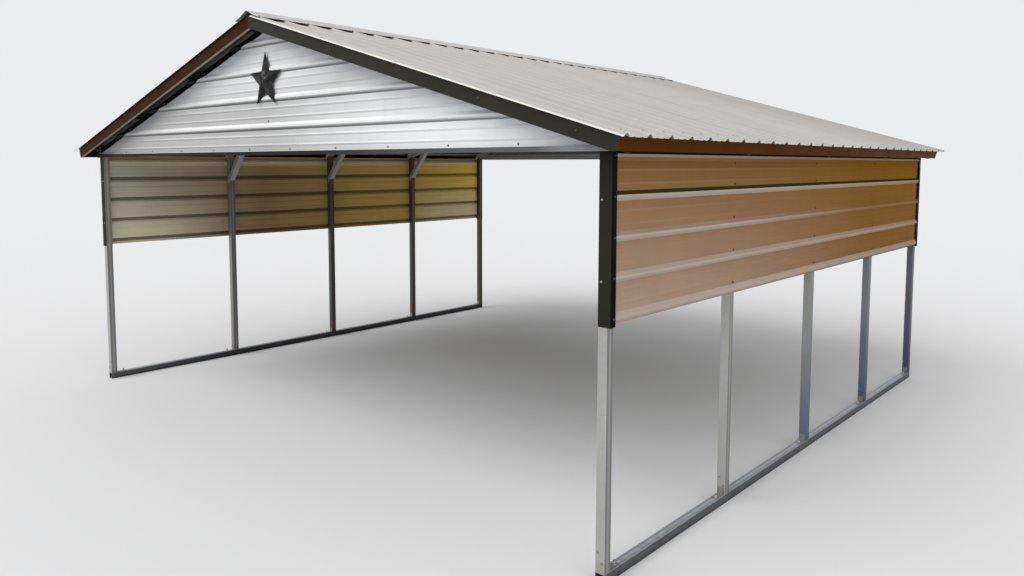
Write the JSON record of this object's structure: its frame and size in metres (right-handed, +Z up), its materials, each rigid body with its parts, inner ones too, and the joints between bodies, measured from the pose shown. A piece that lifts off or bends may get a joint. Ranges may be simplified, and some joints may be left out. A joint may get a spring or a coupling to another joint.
{
  "type": "carport",
  "caption": "Open-ended gable carport on square steel posts and base rails, with a ribbed sheet roof, gable ends and half-height side panels.",
  "frame": {"origin": "on the ground at the middle of the plan, under the ridge", "axes": "+Z up, +Y to the back so that the front gable with the star faces -Y, +X to the right as seen from the front"},
  "size_m": [7.1326, 6.4668, 3.6284],
  "materials": {
    "galvanised_tube": "galvanised, lightly spangled",
    "galvanised_channel": "galvanised, dull",
    "roof_sheet": "satin light grey",
    "side_panel": "satin tan",
    "gable_sheet": "satin white",
    "dark_trim": "satin charcoal",
    "brown_trim": "satin brown",
    "gable_base_trim": "gloss charcoal",
    "gable_star": "dark antique"
  },
  "bodies": {
    "root": {"base_rail_left": "galvanised_tube", "anchor_clips_left": "galvanised_channel", "post_left_1": "galvanised_tube", "post_left_2": "galvanised_tube", "post_left_3": "galvanised_tube", "post_left_4": "galvanised_tube", "post_left_5": "galvanised_tube", "rafters_left": "galvanised_tube", "knee_braces_left": "galvanised_channel", "hat_channels_left": "galvanised_channel", "roof_sheets_left": "roof_sheet", "eave_trim_left": "brown_trim", "side_panel_left": "side_panel", "base_rail_right": "galvanised_tube", "anchor_clips_right": "galvanised_channel", "post_right_1": "galvanised_tube", "post_right_2": "galvanised_tube", "post_right_3": "galvanised_tube", "post_right_4": "galvanised_tube", "post_right_5": "galvanised_tube", "rafters_right": "galvanised_tube", "knee_braces_right": "galvanised_channel", "hat_channels_right": "galvanised_channel", "roof_sheets_right": "roof_sheet", "eave_trim_right": "brown_trim", "side_panel_right": "side_panel", "peak_braces": "galvanised_tube", "ridge_cap": "roof_sheet", "gable_header_front": "galvanised_tube", "gable_stud_front": "galvanised_tube", "gable_sheets_front": "gable_sheet", "gable_base_trim_front": "gable_base_trim", "rake_trim_front_left": "brown_trim", "corner_trim_front_left": "dark_trim", "rake_trim_front_right": "dark_trim", "corner_trim_front_right": "dark_trim", "gable_header_back": "galvanised_tube", "gable_stud_back": "galvanised_tube", "gable_sheets_back": "gable_sheet", "gable_base_trim_back": "gable_base_trim", "rake_trim_back_left": "brown_trim", "corner_trim_back_left": "dark_trim", "rake_trim_back_right": "dark_trim", "corner_trim_back_right": "dark_trim", "gable_star": "gable_star"}
  },
  "joints": []
}
